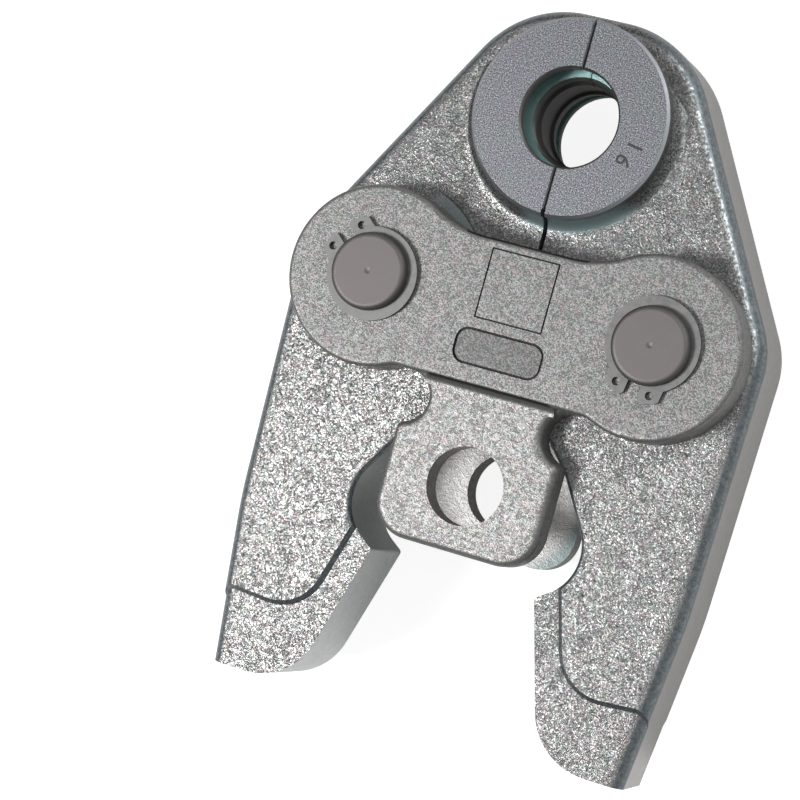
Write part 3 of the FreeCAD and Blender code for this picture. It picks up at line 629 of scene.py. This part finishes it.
def coil_faces():
    """Skin of the wire between its rings, and its two ends."""
    last = COIL_STEPS * WIRE_SIDES
    faces = [tuple(range(WIRE_SIDES))]
    faces.append(tuple(last + corner for corner in reversed(range(WIRE_SIDES))))
    for step in range(COIL_STEPS):
        for corner in range(WIRE_SIDES):
            first = step * WIRE_SIDES + corner
            second = step * WIRE_SIDES + (corner + 1) % WIRE_SIDES
            faces.append((first, first + WIRE_SIDES, second + WIRE_SIDES, second))
    return faces


def make_spring_half(side, lever):
    """Half of the coil, from the middle into the seat of one lever."""
    name = "closing_spring_" + lever
    mesh = bpy.data.meshes.new(name)
    mesh.from_pydata(coil_vertices(side, SEAT_FLOOR - WIRE_RADIUS), [], coil_faces())
    shell = bmesh.new()
    shell.from_mesh(mesh)
    bmesh.ops.recalc_face_normals(shell, faces=shell.faces)
    shell.to_mesh(mesh)
    shell.free()
    for polygon in mesh.polygons:
        polygon.use_smooth = len(polygon.vertices) == 4
    mesh.materials.append(ring_look)
    piece = bpy.data.objects.new(name, mesh)
    bpy.context.scene.collection.objects.link(piece)
    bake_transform(piece)
    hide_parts("closing_spring")


make_spring_half(-1.0, "lever_left")
make_spring_half(1.0, "lever_right")


# Size mark

def figure_mesh(name, figure):
    """Flat outline of one figure, of any size."""
    text = bpy.data.curves.new(name + "_text", "FONT")
    text.body = figure
    text.size = 1.0
    text.align_x = "CENTER"
    text.offset = 0.01
    shape = bpy.data.objects.new(name + "_text", text)
    bpy.context.scene.collection.objects.link(shape)
    evaluated = shape.evaluated_get(bpy.context.evaluated_depsgraph_get())
    mesh = bpy.data.meshes.new_from_object(evaluated)
    bpy.data.objects.remove(shape)
    return mesh


def stamp_figure(figure, radius, degrees):
    """One figure of the size mark on the boss face, its top away from the die."""
    name = "size_mark_" + figure
    mesh = figure_mesh(name, figure)
    angle = math.radians(degrees)
    turn = angle - math.pi / 2.0
    centre = Vector((radius * math.cos(angle), DIE_Y + radius * math.sin(angle),
                     BOSS_FACE + SIZE_MARK_LIFT)) / 1000.0
    heights = [vertex.co.y for vertex in mesh.vertices]
    scale = SIZE_MARK_HEIGHT / 1000.0 / (max(heights) - min(heights))
    middle = (max(heights) + min(heights)) / 2.0
    for vertex in mesh.vertices:
        across = vertex.co.x * scale
        along = (vertex.co.y - middle) * scale
        vertex.co = centre + Vector((across * math.cos(turn) - along * math.sin(turn),
                                     across * math.sin(turn) + along * math.cos(turn), 0.0))
    mesh.materials.clear()
    mesh.materials.append(mark_look)
    piece = bpy.data.objects.new(name, mesh)
    bpy.context.scene.collection.objects.link(piece)
    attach(piece, "lever_right")


stamp_figure("1", 13.2, -10.3)
stamp_figure("6", 12.8, -24.4)


# Floor

def make_floor():
    """Pale floor that stays white behind the part and still takes its shadow."""
    mesh = bpy.data.meshes.new("floor")
    half = FLOOR_HALF_WIDTH
    corners = [(-half, -half), (half, -half), (half, half), (-half, half)]
    mesh.from_pydata([(x, y, REST_HEIGHT) for x, y in corners], [], [(0, 1, 2, 3)])
    floor = bpy.data.objects.new("floor", mesh)
    bpy.context.scene.collection.objects.link(floor)
    material, tree = new_material("floor_paper")
    path = add_node(tree, "ShaderNodeLightPath")
    reflected = product(tree, path.outputs["Is Glossy Ray"], 0.15)
    seen = highest(tree, path.outputs["Is Camera Ray"], reflected,
                   path.outputs["Is Transmission Ray"])
    paper = add_node(tree, "ShaderNodeBsdfDiffuse", {"Color": grey(0.8)})
    faint_paper = add_node(tree, "ShaderNodeBsdfDiffuse", {"Color": grey(0.3)})
    glow = add_node(tree, "ShaderNodeEmission", {"Color": grey(1.0), "Strength": 0.88})
    bright = add_node(tree, "ShaderNodeAddShader", {0: faint_paper.outputs[0], 1: glow.outputs[0]})
    inputs = {0: seen, 1: paper.outputs[0], 2: bright.outputs[0]}
    surface = add_node(tree, "ShaderNodeMixShader", inputs)
    add_node(tree, "ShaderNodeOutputMaterial", {"Surface": surface.outputs[0]})
    mesh.materials.append(material)


make_floor()


# Light

def make_world():
    """Soft room light, brighter from above and the right, and white behind the part."""
    world = bpy.data.worlds.new("room")
    bpy.context.scene.world = world
    world.use_nodes = True
    tree = world.node_tree
    tree.nodes.clear()
    path = add_node(tree, "ShaderNodeLightPath")
    direction = add_node(tree, "ShaderNodeTexCoord")
    inputs = {0: direction.outputs["Generated"], 1: (0.45, 0.35, 0.8)}
    towards_light = add_node(tree, "ShaderNodeVectorMath", inputs, operation="DOT_PRODUCT")
    strength = spread(tree, towards_light.outputs["Value"], -0.2, 1.0, 0.02, 0.55)
    room = add_node(tree, "ShaderNodeBackground", {"Color": grey(1.0), "Strength": strength})
    white = add_node(tree, "ShaderNodeBackground", {"Color": grey(1.0), "Strength": 1.0})
    surface = add_node(tree, "ShaderNodeMixShader", {
        0: path.outputs["Is Camera Ray"],
        1: room.outputs[0],
        2: white.outputs[0],
    })
    add_node(tree, "ShaderNodeOutputWorld", {"Surface": surface.outputs[0]})


def add_softbox(name, place, size, power):
    """Square softbox aimed at the middle of the part."""
    data = bpy.data.lights.new(name, "AREA")
    data.shape = "SQUARE"
    data.size = size
    data.energy = power
    lamp = bpy.data.objects.new(name, data)
    lamp.location = place
    aim = Vector(LIGHT_AIM) - Vector(place)
    lamp.rotation_euler = aim.to_track_quat("-Z", "Y").to_euler()
    bpy.context.scene.collection.objects.link(lamp)


make_world()
add_softbox("softbox_left", (-0.5, -0.29, 0.93), 0.28, 11.0)
add_softbox("softbox_right", (0.5, 0.55, 0.5), 0.4, 2.5)

# Camera, where the photograph was taken from
camera_data = bpy.data.cameras.new("camera")
camera_data.lens = LENS_MM
camera_data.sensor_width = 36.0
camera_data.clip_start = 0.01
camera = bpy.data.objects.new("camera", camera_data)
camera.location = CAMERA_PLACE
camera.rotation_euler = [math.radians(angle) for angle in CAMERA_DEGREES]
bpy.context.scene.collection.objects.link(camera)
bpy.context.scene.camera = camera
bpy.context.scene.view_settings.view_transform = "Standard"
